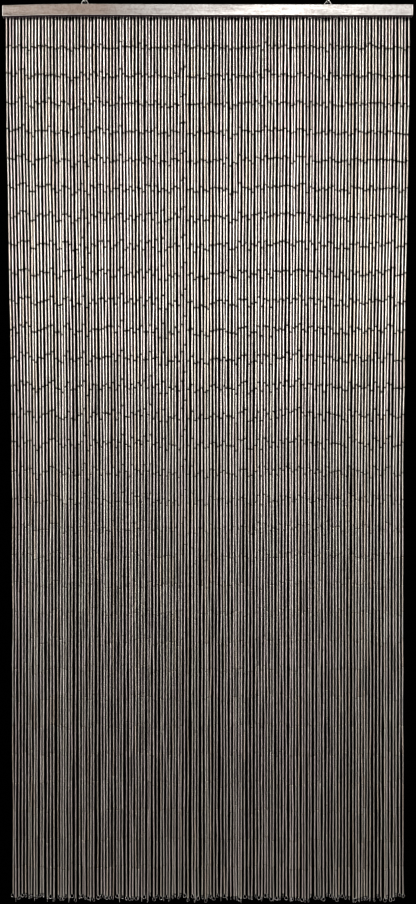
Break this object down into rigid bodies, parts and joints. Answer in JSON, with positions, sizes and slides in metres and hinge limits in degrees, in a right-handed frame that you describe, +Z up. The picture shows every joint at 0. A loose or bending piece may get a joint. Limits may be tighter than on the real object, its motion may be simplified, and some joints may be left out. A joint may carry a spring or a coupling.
{
  "type": "bead curtain with hanging hooks",
  "caption": "Doorway curtain of strings of bamboo tubes under a wooden header bar, hung by wire loops on round hooks.",
  "frame": {"origin": "midway between the tops of the shanks of the two hooks, where a lintel or wall holds them", "axes": "+X along the header bar to the viewer's right, +Y away from the viewer, +Z up"},
  "size_m": [0.91, 0.02, 2.0325],
  "materials": {
    "bar_wood": "pale grey-brown batten, lightly varnished, satin",
    "bamboo": "pale cream bamboo tubes, smooth skin with a soft gloss",
    "wire": "plain bright steel wire, a little dulled"
  },
  "bodies": {
    "root": {"header_bar": "bar_wood", "strands": "bamboo", "hanger_left": "wire", "hanger_right": "wire", "hook_left": "wire", "hook_right": "wire"}
  },
  "joints": []
}
